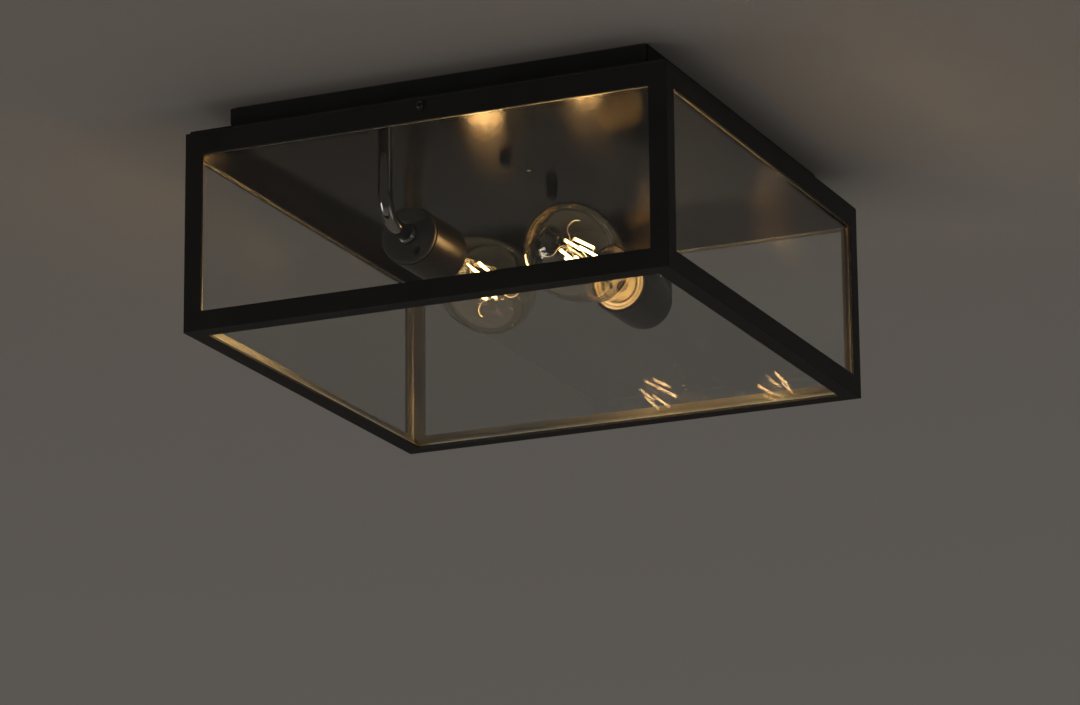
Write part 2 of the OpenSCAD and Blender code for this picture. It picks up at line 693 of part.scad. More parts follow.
canopy_box();
reflector_plate();
ceiling_bar();
mounting_studs();
stud_lock_nuts();
terminal_block();
terminal_screws();
terminal_block_screw();
earth_screw();
arm_left();
arm_right();
arm_nuts();
arm_collars();
holder_end_left();
holder_end_right();
holder_cup_left();
holder_cup_right();
porcelain_left();
porcelain_right();
screw_shell_left();
screw_shell_right();
centre_contact_left();
centre_contact_right();
porcelain_screws();
lead_left();
lead_right();
cap_nut_front();
cap_nut_back();
cap_nut_washer_front();
cap_nut_washer_back();
bulb_tip_left();
bulb_tip_right();
bulb_insulator_left();
bulb_insulator_right();
bulb_cap_left();
bulb_cap_right();
bulb_glass_left();
bulb_glass_right();
bulb_stem_left();
bulb_stem_right();
bulb_wires_left();
bulb_wires_right();
bulb_filaments_left();
bulb_filaments_right();
corner_posts();
bottom_rails();
top_rail_front();
top_rail_back();
top_rails_side();
glass_front();
glass_back();
glass_left();
glass_right();
glass_bottom();
glazing_seals();
side_screw_front();
side_screw_back();
side_washer_front();
side_washer_back();
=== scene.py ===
import math

import bmesh
import bpy
from mathutils import Matrix, Vector


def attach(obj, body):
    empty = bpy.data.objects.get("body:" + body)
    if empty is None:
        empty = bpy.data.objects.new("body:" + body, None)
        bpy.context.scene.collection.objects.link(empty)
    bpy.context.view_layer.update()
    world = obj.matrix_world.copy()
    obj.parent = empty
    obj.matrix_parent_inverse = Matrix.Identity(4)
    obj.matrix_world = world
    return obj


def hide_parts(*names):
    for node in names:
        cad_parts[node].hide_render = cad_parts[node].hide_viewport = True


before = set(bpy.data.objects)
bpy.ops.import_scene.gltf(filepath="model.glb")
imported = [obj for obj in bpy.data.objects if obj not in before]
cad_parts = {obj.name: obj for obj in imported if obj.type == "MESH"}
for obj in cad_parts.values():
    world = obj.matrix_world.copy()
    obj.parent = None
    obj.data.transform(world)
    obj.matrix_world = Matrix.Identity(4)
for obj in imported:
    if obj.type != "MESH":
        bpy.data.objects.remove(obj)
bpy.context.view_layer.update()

# Shapes are drawn in millimetres in the frame of the CAD model: z = 0 is the ceiling, and the
# front faces -Y. piece() turns them to metres.
MM = 0.001
TURN = 2 * math.pi
SIDES = ("left", "right")
ENDS = ("front", "back")
SHEET = 1.2         # thickness of box and plate
LAMP_X = 42.7       # lamp axes, left and right of the middle
LAMP_Z = -90.4      # and their height
HOLDER_Y = 104.5    # end faces of the lampholders
ARM_Y = 139         # upright runs of the bent tubes
ARM_BEND = 18       # radius of their bends, on the centre line
STUD_Y = 38.5       # studs and cap nuts
E27_PITCH = 3.63
M5_PITCH = 0.8
UNMOVED = Matrix.Identity(4)
HALF_TURN = Matrix.Rotation(math.pi, 4, "Z")

# Lamp axes: local z runs from the holder's end face to the bulb, local x and y lie across it.
LAMP = {
    "left": Matrix(((1, 0, 0, -LAMP_X), (0, 0, 1, -HOLDER_Y), (0, -1, 0, LAMP_Z), (0, 0, 0, 1))),
    "right": Matrix(((-1, 0, 0, LAMP_X), (0, 0, -1, HOLDER_Y), (0, -1, 0, LAMP_Z), (0, 0, 0, 1))),
}


# ---------------------------------------------------------------- nodes and finishes

def linear(code):
    """Linear colour of an sRGB hex code."""
    shares = [int(code[i:i + 2], 16) / 255 for i in (1, 3, 5)]
    return (*[c / 12.92 if c <= 0.04045 else ((c + 0.055) / 1.055) ** 2.4 for c in shares], 1)


def add(tree, kind, links=None, **settings):
    """Adds one node. A link's value is a number, a colour or the socket that feeds it."""
    made = tree.nodes.new(kind)
    for key, value in settings.items():
        setattr(made, key, value)
    for key, value in (links or {}).items():
        if isinstance(value, bpy.types.NodeSocket):
            tree.links.new(value, made.inputs[key])
        else:
            made.inputs[key].default_value = value
    return made


def new_finish(name):
    """An empty material with its output node."""
    finish = bpy.data.materials.new(name)
    finish.use_nodes = True
    finish.node_tree.nodes.clear()
    return finish, finish.node_tree, add(finish.node_tree, "ShaderNodeOutputMaterial")


def grain(tree, size_mm, stretch=(1, 1, 1), detail=2, rough=0.5, turn=0):
    """Noise on object coordinates: features of size_mm, drawn out by stretch, turned about Z."""
    where = add(tree, "ShaderNodeTexCoord").outputs["Object"]
    scale = [size_mm * MM * s for s in stretch]
    placed = add(tree, "ShaderNodeMapping", {"Vector": where, "Rotation": (0, 0, turn),
                                             "Scale": scale}, vector_type="TEXTURE")
    return add(tree, "ShaderNodeTexNoise", {"Vector": placed.outputs["Vector"], "Scale": 1,
                                            "Detail": detail, "Roughness": rough}).outputs["Fac"]


def between(tree, share, low, high):
    """Spreads a noise's middle over the range from low to high."""
    return add(tree, "ShaderNodeMapRange", {"Value": share, "From Min": 0.3, "From Max": 0.7,
                                            "To Min": low, "To Max": high}).outputs["Result"]


def tint(tree, share, first, second):
    """Colour between two hex colours by a noise's share."""
    ramp = add(tree, "ShaderNodeValToRGB", {"Fac": share})
    for stop, position, code in zip(ramp.color_ramp.elements, (0.35, 0.65), (first, second)):
        stop.position, stop.color = position, linear(code)
    return ramp.outputs["Color"]


def solid_finish(name, colours, metallic, rough, texture_mm, bump=0.1, depth_mm=0.02,
                 stretch=(1, 1, 1), detail=2, turn=0, **sockets):
    """One opaque finish: two close tones, a roughness range and a fine relief of one size."""
    finish, tree, out = new_finish(name)
    cloud = grain(tree, texture_mm * 40, detail=4)
    fine = grain(tree, texture_mm, stretch, detail, turn=turn)
    relief = add(tree, "ShaderNodeBump", {"Height": fine, "Strength": bump,
                                          "Distance": depth_mm * MM})
    body = add(tree, "ShaderNodeBsdfPrincipled", {
        "Base Color": tint(tree, cloud, *colours), "Metallic": metallic,
        "Roughness": between(tree, fine, *rough), "Normal": relief.outputs["Normal"]})
    for key, value in sockets.items():
        body.inputs[key.replace("_", " ")].default_value = value
    tree.links.new(body.outputs["BSDF"], out.inputs["Surface"])
    return finish


def clear_finish(name, colour, ior, texture_mm, bump, rough=0.0):
    """Clear glass that lets the lamps' light through: shadow rays pass straight."""
    finish, tree, out = new_finish(name)
    relief = add(tree, "ShaderNodeBump", {"Height": grain(tree, texture_mm, detail=1),
                                          "Strength": bump, "Distance": 0.05 * MM})
    glass = add(tree, "ShaderNodeBsdfPrincipled", {
        "Base Color": linear(colour), "Roughness": rough, "IOR": ior, "Transmission Weight": 1,
        "Normal": relief.outputs["Normal"]})
    through = add(tree, "ShaderNodeBsdfTransparent", {"Color": linear(colour)})
    ray = add(tree, "ShaderNodeLightPath")
    mixed = add(tree, "ShaderNodeMixShader", {"Fac": ray.outputs["Is Shadow Ray"]})
    tree.links.new(glass.outputs["BSDF"], mixed.inputs[1])
    tree.links.new(through.outputs["BSDF"], mixed.inputs[2])
    tree.links.new(mixed.outputs["Shader"], out.inputs["Surface"])
    return finish


def arris_wear_and_highlight():
    """Powder coat rubbed thin along the arrises, plus a painted highlight: the pale grey runs are
    partly wear, partly the edges' sheen.
    """
    finish, tree, out = new_finish("powder_coat_arris_wear_and_highlight")
    runs = grain(tree, 9, detail=5, rough=0.7)
    body = add(tree, "ShaderNodeBsdfPrincipled", {
        "Base Color": tint(tree, runs, "#1c1c1b", "#7c7a75"), "Metallic": 0,
        "Roughness": between(tree, runs, 0.42, 0.3)})
    tree.links.new(body.outputs["BSDF"], out.inputs["Surface"])
    return finish


def ground_sheet():
    """Ground steel: the fine scratches drag every reflection out across them. The sheet is a
    little bowed, 6 mm from its middle to its rim, so the lamps' images move in from the rim."""
    finish = solid_finish("ground_steel_sheet", ("#443d36", "#3a342e"), 1, (0.11, 0.15), 1.0,
                          bump=0.03, depth_mm=0.006, stretch=(80, 1, 1), detail=3, turn=GRIND,
                          Anisotropic=0.85)
    tree = finish.node_tree
    across = add(tree, "ShaderNodeTangent", direction_type="UV_MAP", uv_map="across_grain")
    tree.links.new(across.outputs["Tangent"], tree.nodes["Principled BSDF"].inputs["Tangent"])
    where = add(tree, "ShaderNodeTexCoord").outputs["Object"]
    spot = add(tree, "ShaderNodeSeparateXYZ", {"Vector": where}).outputs["Y"]
    square = add(tree, "ShaderNodeMath", {0: spot, 1: spot}, operation="MULTIPLY")
    bow = add(tree, "ShaderNodeMath", {0: square.outputs["Value"], 1: -0.2}, operation="MULTIPLY")
    bowed = add(tree, "ShaderNodeBump", {"Height": bow.outputs["Value"], "Strength": 1,
                                         "Distance": 1})
    tree.links.new(bowed.outputs["Normal"], tree.nodes["Bump"].inputs["Normal"])
    return finish


def glowing_phosphor():
    """Phosphor coat of a filament stick: silicone with yellow powder that glows warm white."""
    finish, tree, out = new_finish("lit_phosphor_coat")
    specks = grain(tree, 0.8, detail=3)
    body = add(tree, "ShaderNodeBsdfPrincipled", {
        "Base Color": tint(tree, specks, "#e8b65a", "#f0c878"), "Roughness": 0.5,
        "Emission Color": linear("#ffd596"), "Emission Strength": 260})
    tree.links.new(body.outputs["BSDF"], out.inputs["Surface"])
    return finish


def braided_sleeve():
    """Braided glass fibre: strands cross at 45 degrees along the lead. They are drawn 1.2 mm
    wide to show, which is a wave scale of 0.26."""
    finish, tree, out = new_finish("braided_glass_fibre")
    where = add(tree, "ShaderNodeUVMap", uv_map="sleeve").outputs["UV"]
    waves = []
    for angle in (45, -45):
        turned = add(tree, "ShaderNodeMapping", {"Vector": where,
                                                 "Rotation": (0, 0, math.radians(angle))})
        waves.append(add(tree, "ShaderNodeTexWave", {"Vector": turned.outputs["Vector"],
                                                     "Scale": 0.26},
                         bands_direction="X").outputs["Fac"])
    weave = add(tree, "ShaderNodeMath", {0: waves[0], 1: waves[1]},
                operation="MULTIPLY").outputs["Value"]
    relief = add(tree, "ShaderNodeBump", {"Height": weave, "Strength": 0.6,
                                          "Distance": 0.15 * MM})
    body = add(tree, "ShaderNodeBsdfPrincipled", {
        "Base Color": tint(tree, weave, "#b9b3a4", "#ded9cc"), "Roughness": 0.75,
        "Sheen Weight": 0.3, "Normal": relief.outputs["Normal"]})
    tree.links.new(body.outputs["BSDF"], out.inputs["Surface"])
    return finish


# Each finish gives its two tones, its metallic value, its roughness range and its texture's size.

# Polyester powder coat, sprayed and baked: satin black with a fine orange peel.
powder_black = solid_finish("powder_coat_black", ("#0b0b0b", "#0f0f0f"), 0, (0.42, 0.52), 0.9,
                            bump=0.12, depth_mm=0.03, Specular_IOR_Level=0.22)
# Pale grey runs on every bevel: part wear, part painted highlight.
arris = arris_wear_and_highlight()
# The same coat on the box's sheet: a touch duller.
box_black = solid_finish("powder_coat_box", ("#0b0b0b", "#0f0f0f"), 0, (0.44, 0.55), 0.8,
                         bump=0.12, depth_mm=0.03, Specular_IOR_Level=0.22)
# The plate's sheet is ground at this slant to X.
GRIND = math.radians(10)
ground_plate = ground_sheet()
# Zinc plate on pressed steel: pale blue-grey, a little cloudy.
zinc = solid_finish("zinc_plated_steel", ("#a9aaa6", "#bfc0bc"), 1, (0.3, 0.42), 0.6, bump=0.1)
# Black nickel plate on polished tube: dark and glossy.
black_nickel = solid_finish("black_nickel_plate", ("#6a6967", "#757471"), 1, (0.03, 0.05), 0.7,
                            bump=0.01)
# Dark plate on turned brass nuts: nearly black, bright only where it mirrors the lamps.
dark_nickel = solid_finish("dark_plated_brass", ("#2b2926", "#34312d"), 1, (0.06, 0.1), 0.4,
                           bump=0.04)
# Black oxide on socket screws: dull blue-black.
black_oxide = solid_finish("black_oxide_steel", ("#1d1d1e", "#262627"), 0.6, (0.35, 0.45), 0.4,
                           bump=0.08)
# Die-cast zinc end cap, painted matt grey.
matt_grey = solid_finish("matt_painted_casting", ("#191817", "#1f1e1d"), 0, (0.5, 0.6), 0.5,
                         bump=0.12, Specular_IOR_Level=0.25)
# Drawn steel cup, lacquered dark bronze: satin, warm brown.
bronze = solid_finish("dark_bronze_lacquer", ("#0f0d0b", "#14110e"), 0.9, (0.28, 0.38), 0.6,
                      bump=0.06, stretch=(1, 12, 1))
# Glazed porcelain: cream body under a clear glaze.
glaze = solid_finish("glazed_porcelain", ("#c9bda3", "#d2c7af"), 0, (0.22, 0.3), 0.9,
                     bump=0.04, Coat_Weight=0.6, Coat_Roughness=0.08)
# Rolled brass of shell and contacts: yellow, softly bright.
brass = solid_finish("rolled_brass", ("#b08d4c", "#c3a05c"), 1, (0.24, 0.36), 0.5, bump=0.08)
# Moulded polyamide terminal block: off white, faintly waxy.
polyamide = solid_finish("moulded_polyamide", ("#d8d5cb", "#e0ddd4"), 0, (0.4, 0.52), 0.7,
                         bump=0.1, Subsurface_Weight=0.05)
# Tin solder: a dull drop on the bulb's foot.
solder = solid_finish("tin_solder", ("#8f9090", "#a8a9a8"), 1, (0.35, 0.5), 0.8, bump=0.15)
# Moulded black glass between a bulb's cap and its contact: smooth and deep.
foot_glass = solid_finish("black_foot_glass", ("#0b0a0c", "#121013"), 0, (0.06, 0.1), 0.8,
                          bump=0.03)
# Nickel-plated bulb cap, rolled thin: warm grey, half bright.
nickel = solid_finish("nickel_plated_brass", ("#a8a298", "#b8b3a9"), 1, (0.2, 0.3), 0.5,
                      bump=0.06)
# Drawn nickel wire: bright.
wire = solid_finish("drawn_nickel_wire", ("#c9c2b4", "#dad4c6"), 1, (0.3, 0.4), 0.3, bump=0.03)
# Basing cement in the bulb's neck: cream, chalky.
cement = solid_finish("basing_cement", ("#ddd3ba", "#e8dfc9"), 0, (0.6, 0.75), 0.8, bump=0.2)
sleeve = braided_sleeve()
phosphor = glowing_phosphor()
# Float glass: flat, a breath of green; its ground arris is duller.
float_glass = clear_finish("float_glass", "#fbfcfb", 1.52, texture_mm=60, bump=0.01)
ground_arris = clear_finish("ground_glass_arris", "#cfe0d6", 1.52, texture_mm=0.8, bump=0.2,
                            rough=0.25)
# Blown soda glass: thin, faintly uneven, with a trace of amber. The stem is pressed.
blown_glass = clear_finish("blown_soda_glass", "#fdf6e6", 1.5, texture_mm=14, bump=0.05)
stem_glass = clear_finish("pressed_stem_glass", "#f4f4ee", 1.5, texture_mm=4, bump=0.15)
# Clear silicone: milky, with a soft gloss.
silicone = clear_finish("clear_silicone", "#e4e4df", 1.41, texture_mm=3, bump=0.2, rough=0.3)


# ---------------------------------------------------------------- making pieces

def piece(name, shape, body, slot, finishes, stands_for=(), angle=32, place=UNMOVED,
          turn_out=True):
    """Makes a mesh in millimetres one piece of the lantern, in metres and in its place. Edges
    sharper than angle stay sharp."""
    if turn_out:
        bmesh.ops.recalc_face_normals(shape, faces=shape.faces)
    mesh = bpy.data.meshes.new(name)
    shape.transform(Matrix.Scale(MM, 4) @ place)
    shape.to_mesh(mesh)
    shape.free()
    mesh.shade_smooth()
    mesh.set_sharp_from_angle(angle=math.radians(angle))
    made = bpy.data.objects.new(name, mesh)
    bpy.context.scene.collection.objects.link(made)
    for finish in finishes if isinstance(finishes, (list, tuple)) else [finishes]:
        mesh.materials.append(finish)
    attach(made, body)
    if stands_for:
        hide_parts(*([stands_for] if isinstance(stands_for, str) else stands_for))


def join(whole, part):
    """Adds the mesh part to the mesh whole and frees it."""
    held = bpy.data.meshes.new("held")
    part.to_mesh(held)
    part.free()
    whole.from_mesh(held)
    bpy.data.meshes.remove(held)


def settle(shape, modifiers):
    """Returns the mesh with these modifiers applied: a list of (kind, settings)."""
    mesh = bpy.data.meshes.new("raw")
    shape.to_mesh(mesh)
    shape.free()
    raw = bpy.data.objects.new("raw", mesh)
    bpy.context.scene.collection.objects.link(raw)
    for kind, settings in modifiers:
        modifier = raw.modifiers.new(kind, kind)
        for key, value in settings.items():
            setattr(modifier, key, value)
    return evaluated(raw)


def evaluated(raw):
    """The mesh that an object's modifiers give. The object itself is removed."""
    bpy.context.view_layer.update()
    graph = bpy.context.evaluated_depsgraph_get()
    done = bpy.data.meshes.new_from_object(raw.evaluated_get(graph))
    shape = bmesh.new()
    shape.from_mesh(done)
    plain = raw.data
    bpy.data.objects.remove(raw)
    bpy.data.meshes.remove(plain)
    bpy.data.meshes.remove(done)
    return shape


def broken_edges(width, steps=2, material=0):
    """A bevel of width millimetres on every edge sharper than 30 degrees."""
    return ("BEVEL", {"width": width, "segments": steps, "limit_method": "ANGLE",
                      "material": material, "angle_limit": math.radians(30),
                      "harden_normals": False, "use_clamp_overlap": True})


def from_frame(node):
    """A merged copy of a CAD node's mesh, in millimetres."""
    shape = bmesh.new()
    shape.from_mesh(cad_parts[node].data)
    bmesh.ops.scale(shape, vec=(1000, 1000, 1000), verts=shape.verts)
    bmesh.ops.remove_doubles(shape, verts=shape.verts, dist=0.002)
    bmesh.ops.dissolve_limit(shape, angle_limit=math.radians(0.4), verts=shape.verts,
                             edges=shape.edges)
    for face in shape.faces:
        face.material_index = 0
    return shape


def map_grain(shape):
    """Gives the plate a UV map across its grain. Its outer faces, which the cage and the box
    hide, take the second finish."""
    uv = shape.loops.layers.uv.new("across_grain")
    rim = max(vert.co.x for vert in shape.verts) - SHEET / 2
    for face in shape.faces:
        middle = face.calc_center_median()
        hidden = max(abs(middle.x), abs(middle.y)) > rim or face.normal.z > 0.5
        face.material_index = int(hidden)
        for loop in face.loops:
            x, y, z = loop.vert.co
            loop[uv].uv = (y * math.cos(GRIND) - x * math.sin(GRIND) + z,
                           x * math.cos(GRIND) + y * math.sin(GRIND))


def refined(name, node, body, slot, finishes, width, steps=2, material=0, grained=False, **more):
    """The CAD node's own shape with its edges broken by width."""
    shape = settle(from_frame(node), [broken_edges(width, steps, material)])
    if grained:
        map_grain(shape)
    piece(name, shape, body, slot, finishes, node, turn_out=False, **more)


def rounded(corners, steps=4):
    """A closed outline of (r, z) or (r, z, fillet) corners with its fillets drawn as arcs."""
    outline = []
    for i, corner in enumerate(corners):
        if len(corner) < 3:
            outline.append(corner)
            continue
        here = Vector(corner[:2])
        to_last = (Vector(corners[i - 1][:2]) - here).normalized()
        to_next = (Vector(corners[(i + 1) % len(corners)][:2]) - here).normalized()
        half = to_last.angle(to_next) / 2
        reach = corner[2] / math.tan(half)
        centre = here + (to_last + to_next).normalized() * (corner[2] / math.sin(half))
        first = here + to_last * reach - centre
        last = here + to_next * reach - centre
        for k in range(steps + 1):
            spoke = first.slerp(last, k / steps) if first.angle(last) > 1e-4 else first
            outline.append(tuple(centre + spoke))
    return outline


def lathe(outline, steps=96, thread=None):
    """Turns a closed outline of (r, z) about Z. Points (r, z, k) follow k * thread(z, angle)."""
    shape = bmesh.new()
    rings = []
    for point in outline:
        share = point[2] if len(point) > 2 else 0
        if point[0] < 1e-6:
            rings.append([shape.verts.new((0, 0, point[1]))])
            continue
        ring = []
        for i in range(steps):
            a = TURN * i / steps
            r = point[0] + (share * thread(point[1], a) if share else 0)
            ring.append(shape.verts.new((r * math.cos(a), r * math.sin(a), point[1])))
        rings.append(ring)
    for i, ring in enumerate(rings):
        other = rings[(i + 1) % len(rings)]
        if len(ring) == 1 and len(other) == 1:
            continue
        for j in range(steps):
            k = (j + 1) % steps
            corners = [ring[j % len(ring)], ring[k % len(ring)],
                       other[k % len(other)], other[j % len(other)]]
            shape.faces.new(list(dict.fromkeys(corners)))
    return shape


def turned_piece(name, outline, body, slot, finishes, stands_for=(), place=UNMOVED, steps=96,
                 thread=None, **more):
    """One lathe-turned piece."""
    piece(name, lathe(outline, steps, thread), body, slot, finishes, stands_for, place=place,
          **more)


def sweep(path, radius, steps, bore=0):
    """A round rod or tube along a path of points. Its UV map holds millimetres along and round
    it."""
    shape = bmesh.new()
    uv = shape.loops.layers.uv.new("sleeve")
    points = [Vector(p) for p in path]
    last = (points[1] - points[0]).normalized()
    side = last.orthogonal().normalized()
    walls = [radius, bore] if bore else [radius]
    rings, along = [], 0
    for i, p in enumerate(points):
        before, after = points[max(i - 1, 0)], points[min(i + 1, len(points) - 1)]
        ahead = (after - before).normalized()
        side = last.rotation_difference(ahead) @ side
        last = ahead
        across = ahead.cross(side)
        along += (p - before).length
        spokes = [math.cos(TURN * k / steps) * side + math.sin(TURN * k / steps) * across
                  for k in range(steps)]
        rings.append((along, [[shape.verts.new(p + r * spoke) for spoke in spokes]
                              for r in walls]))
    for (s0, now), (s1, then) in zip(rings, rings[1:]):
        for w, r in enumerate(walls):
            for k in range(steps):
                n = (k + 1) % steps
                face = shape.faces.new((now[w][k], now[w][n], then[w][n], then[w][k]))
                spots = ((s0, k), (s0, k + 1), (s1, k + 1), (s1, k))
                for loop, (s, c) in zip(face.loops, spots):
                    loop[uv].uv = (s, TURN * r * c / steps)
    for _, ring in (rings[0], rings[-1]):
        if bore:
            for k in range(steps):
                n = (k + 1) % steps
                shape.faces.new((ring[0][k], ring[0][n], ring[1][n], ring[1][k]))
        else:
            shape.faces.new(ring[0])
    return shape


def arc(centre, first, last, steps=16):
    """Points from first to last on a quarter turn about centre."""
    centre, first, last = Vector(centre), Vector(first), Vector(last)
    turns = [t * TURN / 4 / steps for t in range(steps + 1)]
    return [centre + (first - centre) * math.cos(a) + (last - centre) * math.sin(a)
            for a in turns]


def hex_nut(shape, flats, height, bore, place=(0, 0, 0), steps=96):
    """Adds a hex nut with turned chamfers on its corners and a lead-in at its bore."""
    x, y, z = place
    lead_in = 0.4
    face_r = flats / 2 * 0.975
    angles = [TURN * i / steps for i in range(steps)]
    wall = [flats / 2 / math.cos(a % (TURN / 6) - TURN / 12) for a in angles]
    drop = [(r - face_r) * math.tan(math.radians(30)) for r in wall]
    rows = [([bore] * steps, [lead_in] * steps),
            ([bore + lead_in] * steps, [0] * steps),
            ([face_r] * steps, [0] * steps),
            (wall, drop),
            (wall, [height - d for d in drop]),
            ([face_r] * steps, [height] * steps),
            ([bore + lead_in] * steps, [height] * steps),
            ([bore] * steps, [height - lead_in] * steps)]
    rings = [[shape.verts.new((x + r * math.cos(a), y + r * math.sin(a), z + h))
              for a, r, h in zip(angles, *row)] for row in rows]
    for n, ring in enumerate(rings):
        other = rings[(n + 1) % len(rings)]
        for i in range(steps):
            k = (i + 1) % steps
            shape.faces.new((ring[i], ring[k], other[k], other[i]))


def grown(name, group, values):
    """Runs a Geometry Nodes tree with named inputs. Returns its result, in millimetres."""
    host = bpy.data.objects.new(name, bpy.data.meshes.new(name))
    bpy.context.scene.collection.objects.link(host)
    modifier = host.modifiers.new(name, "NODES")
    modifier.node_group = group
    for socket in group.interface.items_tree:
        if socket.item_type == "SOCKET" and socket.in_out == "INPUT" and socket.name in values:
            modifier[socket.identifier] = values[socket.name]
    shape = evaluated(host)
    bmesh.ops.remove_doubles(shape, verts=shape.verts, dist=0.0005)
    for face in shape.faces:
        face.material_index = 0
    return shape


def new_tree(name, inputs):
    """A Geometry Nodes tree with a Finish input and the named number inputs."""
    tree = bpy.data.node_groups.new(name, "GeometryNodeTree")
    for key, kind, value in inputs:
        made = tree.interface.new_socket(key, in_out="INPUT", socket_type=kind)
        made.default_value = value
    tree.interface.new_socket("Finish", in_out="INPUT", socket_type="NodeSocketMaterial")
    tree.interface.new_socket("Geometry", in_out="OUTPUT", socket_type="NodeSocketGeometry")
    return tree, add(tree, "NodeGroupInput").outputs, add(tree, "NodeGroupOutput")


def ring_of_bars():
    """Bars round a circle, parallel to Z or leaning towards it: the filament sticks."""
    tree, given, out = new_tree("ring_of_bars", (
        ("Count", "NodeSocketInt", 6), ("Circle", "NodeSocketFloat", 1),
        ("Bar Radius", "NodeSocketFloat", 1), ("Bar Length", "NodeSocketFloat", 1),
        ("Bar Sides", "NodeSocketInt", 6), ("Lean", "NodeSocketFloat", 0),
        ("Height", "NodeSocketFloat", 0)))
    circle = add(tree, "GeometryNodeMeshCircle", {"Vertices": given["Count"],
                                                  "Radius": given["Circle"]})
    lift = add(tree, "ShaderNodeCombineXYZ", {"Z": given["Height"]})
    lifted = add(tree, "GeometryNodeSetPosition", {"Geometry": circle.outputs["Mesh"],
                                                   "Offset": lift.outputs["Vector"]})
    bar = add(tree, "GeometryNodeMeshCylinder", {
        "Vertices": given["Bar Sides"], "Radius": given["Bar Radius"],
        "Depth": given["Bar Length"]})
    where = add(tree, "GeometryNodeInputPosition").outputs["Position"]
    flat = add(tree, "ShaderNodeVectorMath", {0: where, 1: (1, 1, 0)}, operation="MULTIPLY")
    inward = add(tree, "ShaderNodeVectorMath", {0: flat.outputs["Vector"]}, operation="NORMALIZE")
    leaning = add(tree, "ShaderNodeVectorMath", {0: inward.outputs["Vector"],
                                                 "Scale": given["Lean"]}, operation="SCALE")
    heading = add(tree, "ShaderNodeVectorMath", {0: leaning.outputs["Vector"], 1: (0, 0, 1)},
                  operation="ADD")
    turned = add(tree, "FunctionNodeAlignRotationToVector", {"Vector": heading.outputs["Vector"]},
                 axis="Z")
    bars = add(tree, "GeometryNodeInstanceOnPoints", {
        "Points": lifted.outputs["Geometry"], "Instance": bar.outputs["Mesh"],
        "Rotation": turned.outputs["Rotation"]})
    real = add(tree, "GeometryNodeRealizeInstances", {"Geometry": bars.outputs["Instances"]})
    painted = add(tree, "GeometryNodeSetMaterial", {"Geometry": real.outputs["Geometry"],
                                                    "Material": given["Finish"]})
    tree.links.new(painted.outputs["Geometry"], out.inputs["Geometry"])
    return tree


BARS_ROUND = ring_of_bars()


# ---------------------------------------------------------------- cage

def window_frame():
    """The welded cage: four flat walls with a window each and the lip under the bottom glass."""
    shape = bmesh.new()
    out, back, post, lip = 175, 173, 162, 162.5
    low, bed, sill, head, top = -161, -159, -147, -37.5, -21.5
    for k in range(4):
        turn = Matrix.Rotation(k * TURN / 4, 4, "Z")

        def quad(*corners):
            shape.faces.new([shape.verts.new(turn @ Vector(c)) for c in corners])

        for y, bottom, wide in ((-out, low, out), (-back, bed, back)):
            wall = [(-wide, y, bottom), (wide, y, bottom), (wide, y, top), (-wide, y, top)]
            window = [(-post, y, sill), (post, y, sill), (post, y, head), (-post, y, head)]
            for i in range(4):
                j = (i + 1) % 4
                quad(wall[i], wall[j], window[j], window[i])
        window = [(-post, sill), (post, sill), (post, head), (-post, head)]
        for i in range(4):
            (a, b), (c, d) = window[i], window[(i + 1) % 4]
            quad((a, -out, b), (c, -out, d), (c, -back, d), (a, -back, b))
        quad((-out, -out, top), (out, -out, top), (back, -back, top), (-back, -back, top))
        quad((-back, -back, bed), (back, -back, bed), (lip, -lip, bed), (-lip, -lip, bed))
        quad((-lip, -lip, bed), (lip, -lip, bed), (lip, -lip, low), (-lip, -lip, low))
        quad((-lip, -lip, low), (lip, -lip, low), (out, -out, low), (-out, -out, low))
    bmesh.ops.remove_doubles(shape, verts=shape.verts, dist=0.01)
    bmesh.ops.recalc_face_normals(shape, faces=shape.faces)
    return settle(shape, [broken_edges(0.4, steps=3, material=1)])


# The broad faces of frame, box and plate stay sharp from this angle, so they mirror as flat ones.
FLAT = 10

piece("cage_weldment", window_frame(), "cage", "frame_black", [powder_black, arris],
      ("corner_posts", "bottom_rails", "top_rail_front", "top_rail_back", "top_rails_side"),
      turn_out=False, angle=FLAT)

for pane in ("front", "back", "left", "right", "bottom"):
    refined("pane_" + pane, "glass_" + pane, "cage", "pane_glass", [float_glass, ground_arris],
            width=0.35, steps=1, material=1)


def square_bead(half, z, size, steps=5):
    """A cove of sealant round the inside of the panes, where they stand on the bottom glass."""
    shape = bmesh.new()
    turns = [t * TURN / 4 / steps for t in range(1, steps)]
    section = [(0, 0), (size, 0)]
    section += [(size - size * math.sin(a), size - size * math.cos(a)) for a in turns]
    section += [(0, size)]
    rings = [[shape.verts.new((sx * (half - x), sy * (half - x), z + y))
              for sx, sy in ((-1, -1), (1, -1), (1, 1), (-1, 1))] for x, y in section]
    for i, ring in enumerate(rings):
        other = rings[(i + 1) % len(rings)]
        for k in range(4):
            n = (k + 1) % 4
            shape.faces.new((ring[k], ring[n], other[n], other[k]))
    return shape


piece("sealant_cove", square_bead(half=169.45, z=-155.45, size=1.6), "cage", "silicone",
      silicone, angle=40)

for end in ENDS:
    refined("button_screw_" + end, "side_screw_" + end, "screw_" + end, "screw_black",
            black_oxide, width=0.15)
    refined("button_washer_" + end, "side_washer_" + end, "screw_thread_" + end, "screw_black",
            black_oxide, width=0.1)


# ---------------------------------------------------------------- ceiling unit

